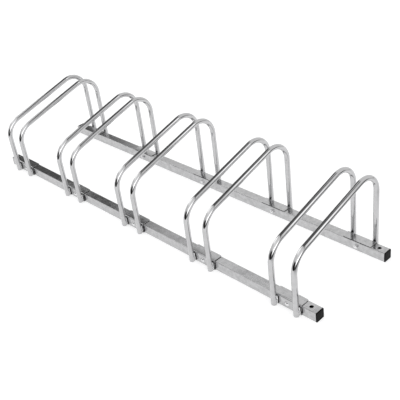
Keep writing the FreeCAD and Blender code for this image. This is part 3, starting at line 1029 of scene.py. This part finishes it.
def add_floor(settings):
    """A pale floor, lifted to white where it is seen, that keeps the rack's soft shadow."""
    material = bpy.data.materials.new("studio_floor")
    material.use_nodes = True
    nodes = Nodes(material.node_tree)
    matte = nodes.add("ShaderNodeBsdfDiffuse")
    place = nodes.add("ShaderNodeTexCoord").outputs["Object"]
    grain = nodes.noise(place, 35.0, detail=2.0)
    nodes.put(matte.inputs["Color"],
              nodes.mix_colour(grain, grey(settings.floor_tone * 0.98), grey(settings.floor_tone)))
    split = nodes.add("ShaderNodeSeparateXYZ")
    nodes.put(split.inputs[0], place)
    glow = nodes.remap(split.outputs["X"], settings.fade_start, settings.floor_high[0],
                       settings.floor_glow, 0.0)
    path = nodes.add("ShaderNodeLightPath")
    lift = nodes.add("ShaderNodeEmission")
    nodes.put(lift.inputs["Strength"], nodes.math(
        "ADD", nodes.math("MULTIPLY", path.outputs["Is Camera Ray"], settings.floor_lift),
        nodes.math("MULTIPLY", path.outputs["Is Glossy Ray"], glow)))
    total = nodes.add("ShaderNodeAddShader")
    nodes.put(total.inputs[0], matte.outputs[0])
    nodes.put(total.inputs[1], lift.outputs[0])
    output = nodes.add("ShaderNodeOutputMaterial")
    nodes.put(output.inputs["Surface"], total.outputs[0])

    (left, near), (right, far) = settings.floor_low, settings.floor_high
    drop = -0.0002
    mesh = bpy.data.meshes.new("floor")
    mesh.from_pydata([(left, near, drop), (right, near, drop), (right, far, drop),
                      (left, far, drop)], [], [(0, 1, 2, 3)])
    mesh.materials.append(material)
    floor = bpy.data.objects.new("floor", mesh)
    bpy.context.scene.collection.objects.link(floor)


class StudioSky:
    """Soft boxes and dark screens painted on the world by direction, in degrees.

    Azimuth 0 is +Y and grows towards +X; elevation is above the horizon.
    """

    def __init__(self, nodes, level):
        self.nodes, self.light = nodes, level
        direction = nodes.add("ShaderNodeTexCoord").outputs["Generated"]
        split = nodes.add("ShaderNodeSeparateXYZ")
        nodes.put(split.inputs[0], direction)
        x, y, z = split.outputs
        self.azimuth = nodes.math("DEGREES", nodes.math("ARCTAN2", x, y))
        self.elevation = nodes.math("DEGREES", nodes.math("ARCSINE", z))

    def turn_from(self, azimuth):
        """Signed azimuth difference, from -180 to 180."""
        offset = self.nodes.math("SUBTRACT", self.azimuth, azimuth - 180.0)
        return self.nodes.math("SUBTRACT", self.nodes.math("FLOORED_MODULO", offset, 360.0), 180.0)

    def window(self, value, low, high, soft_low, soft_high):
        """1 between two limits, with soft edges."""
        rise = self.nodes.remap(value, low - soft_low, low + soft_low)
        fall = self.nodes.remap(value, high - soft_high, high + soft_high, 1.0, 0.0)
        return self.nodes.math("MULTIPLY", rise, fall)

    def panel(self, level, azimuth, half_width, low, high, soft_left, soft_right, soft_up):
        """A screen from one elevation to another, about an azimuth."""
        across = self.window(self.turn_from(azimuth), -half_width, half_width,
                             soft_left, soft_right)
        upwards = self.window(self.elevation, low, high, soft_up, soft_up)
        mask = self.nodes.math("MULTIPLY", across, upwards)
        self.light = self.nodes.mix(mask, self.light, level)

    def arched_box(self, levels, start, end, crown, fall, half_height, spread, soft=6.0):
        """A long soft box whose height falls off past an azimuth, and which widens as it falls."""
        past = self.nodes.math("MAXIMUM", self.turn_from(start), 0.0)
        drop = self.nodes.math("MULTIPLY", self.nodes.math("POWER", past, 2.0), fall)
        centre = self.nodes.math("SUBTRACT", crown, drop)
        half = self.nodes.math("ADD", half_height, self.nodes.math("MULTIPLY", past, spread))
        away = self.nodes.math("ABSOLUTE", self.nodes.math("SUBTRACT", self.elevation, centre))
        beyond = self.nodes.math("SUBTRACT", away, half)
        upwards = self.nodes.remap(beyond, -soft, soft, 1.0, 0.0)
        width = (end - start) / 2
        across = self.window(self.turn_from(start + width), -width - 40.0, width, 15.0, 1.5)
        mask = self.nodes.math("MULTIPLY", across, upwards)
        level = self.nodes.remap(past, 0.0, end - start, *levels)
        self.light = self.nodes.mix(mask, self.light, level)


STUDIO_LEVEL = 0.87

# Screens of the studio, painted one over the other: strength, azimuth, half width, lowest and
# highest elevation, and how soft the left, right and level edges are, in degrees.
SCREENS = (
    # Broad light over the front right.
    (1.05, 135.0, 48.0, 28.0, 74.0, 10.0, 10.0, 10.0),
    # Low card that whitens the noses of the hoops.
    (2.6, 115.0, 27.0, 7.0, 29.0, 4.0, 3.0, 4.0),
    # Dark ceiling beyond the rear rail.
    (0.15, 5.0, 75.0, 67.0, 100.0, 5.0, 5.0, 8.0),
    # Bright and dark strips side by side, for the lines along the tubes.
    (1.8, 66.0, 4.0, 26.0, 60.0, 2.0, 2.0, 6.0),
    (0.15, 83.5, 3.5, 38.0, 76.0, 1.5, 1.5, 6.0),
    # Dark room below the horizon, round the front and the right.
    (0.10, 143.0, 105.0, -100.0, 2.0, 6.0, 10.0, 3.0),
    (0.12, 60.0, 13.0, -20.0, 8.0, 5.0, 5.0, 3.0),
    # Dark front, which blackens the tops of the front legs.
    (0.02, -174.5, 34.5, -100.0, 24.0, 4.0, 10.0, 5.0),
)
# Dark wall on the left, painted last, that the far ends of the rails show.
LEFT_WALL = (0.11, -66.0, 11.5, -20.0, 84.0, 1.5, 3.0, 6.0)


def light_world():
    """The studio's surroundings: white for the camera, soft boxes and screens for the metal."""
    world = bpy.data.worlds.new("studio")
    bpy.context.scene.world = world
    world.use_nodes = True
    nodes = Nodes(world.node_tree)
    sky = StudioSky(nodes, STUDIO_LEVEL)
    for screen in SCREENS:
        sky.panel(*screen)
    sky.arched_box((1.2, 1.8), -145.0, -78.5, 57.0, 0.0095, 9.0, 0.2)
    sky.panel(*LEFT_WALL)
    lit = nodes.add("ShaderNodeBackground")
    nodes.put(lit.inputs["Strength"], sky.light)
    plain = nodes.add("ShaderNodeBackground")
    either = nodes.add("ShaderNodeMixShader")
    nodes.put(either.inputs[0], nodes.add("ShaderNodeLightPath").outputs["Is Camera Ray"])
    nodes.put(either.inputs[1], lit.outputs[0])
    nodes.put(either.inputs[2], plain.outputs[0])
    output = nodes.add("ShaderNodeOutputWorld")
    nodes.put(output.inputs["Surface"], either.outputs[0])
    for background in (lit, plain):
        background.inputs["Color"].default_value = (1.0, 1.0, 1.0, 1.0)
    plain.inputs["Strength"].default_value = 1.0


class RACK_OT_set_stage(bpy.types.Operator):
    """Set the camera, the white floor and the studio light"""

    bl_idname = "rack.set_stage"
    bl_label = "Stage"

    def execute(self, context):
        settings = context.scene.rack_stage
        set_camera(settings)
        add_floor(settings)
        light_world()
        context.scene.view_settings.view_transform = "Standard"
        return {"FINISHED"}


# ------------------------------------------------------------------ add-on


OPERATORS = (RACK_OT_set_stage, RACK_OT_dress_rails, RACK_OT_add_brackets, RACK_OT_add_hoops,
             RACK_OT_add_welds, RACK_OT_add_bolts, RACK_OT_add_nuts, RACK_OT_add_caps)


class RACK_PT_panel(bpy.types.Panel):
    """The rack's pieces and their sizes"""

    bl_idname = "RACK_PT_panel"
    bl_label = "Bike rack"
    bl_space_type = "VIEW_3D"
    bl_region_type = "UI"
    bl_category = "Bike rack"

    def draw(self, context):
        for operator in OPERATORS:
            self.layout.operator(operator.bl_idname)
        for name in SETTINGS:
            group = getattr(context.scene, name)
            box = self.layout.box()
            for prop in group.bl_rna.properties:
                if prop.identifier not in ("rna_type", "name"):
                    box.prop(group, prop.identifier)


def register():
    for cls in (*SETTINGS.values(), *OPERATORS, RACK_PT_panel):
        bpy.utils.register_class(cls)
    for name, cls in SETTINGS.items():
        setattr(bpy.types.Scene, name, bpy.props.PointerProperty(type=cls))


def unregister():
    for name in SETTINGS:
        delattr(bpy.types.Scene, name)
    for cls in reversed((*SETTINGS.values(), *OPERATORS, RACK_PT_panel)):
        bpy.utils.unregister_class(cls)


def plain(bounds):
    return [list(corner) for corner in bounds]


def main():
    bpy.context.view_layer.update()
    register()
    for operator in OPERATORS:
        family, name = operator.bl_idname.split(".")
        getattr(getattr(bpy.ops, family), name)()


if __name__ == "__main__":
    main()
